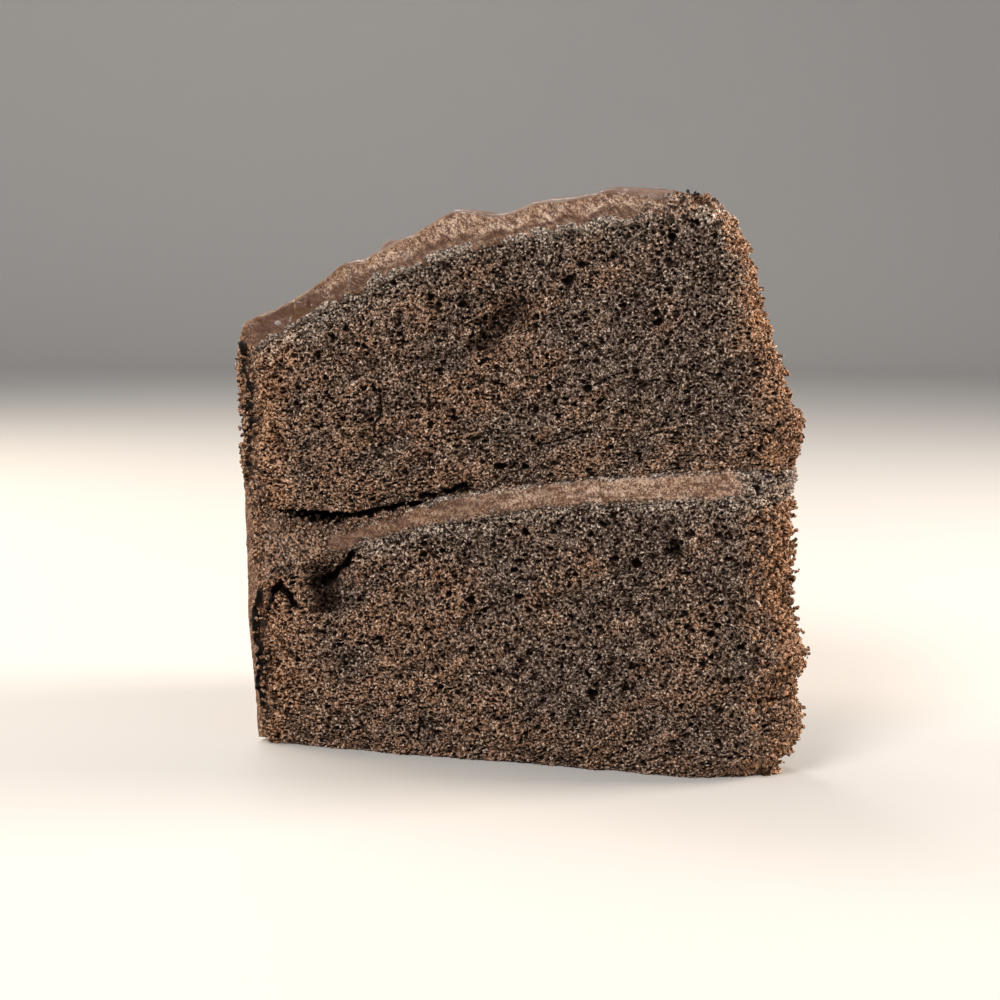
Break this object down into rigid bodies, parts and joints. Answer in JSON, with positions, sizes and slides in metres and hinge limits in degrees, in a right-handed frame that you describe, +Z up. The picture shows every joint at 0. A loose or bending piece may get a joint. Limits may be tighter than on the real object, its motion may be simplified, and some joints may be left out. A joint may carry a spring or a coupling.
{
  "type": "chocolate cake slice",
  "caption": "Tall wedge of round chocolate layer cake: dark open-crumbed sponge, icing between the layers, over the domed top and down the outer side.",
  "frame": {"origin": "middle of the slice's bounding box, on the flat base that it stands on", "axes": "+Z up; +X from the iced outer side towards the torn tip; the two cut faces meet the XZ plane at equal angles, and the shown one faces -Y"},
  "size_m": [0.1042, 0.0811, 0.1039],
  "materials": {
    "sponge": "matte, open, very dark brown cake crumb",
    "icing": "soft satin milk-brown chocolate icing"
  },
  "bodies": {
    "root": {"lower_sponge": "sponge", "filling": "icing", "upper_sponge": "sponge", "icing": "icing"}
  },
  "joints": []
}
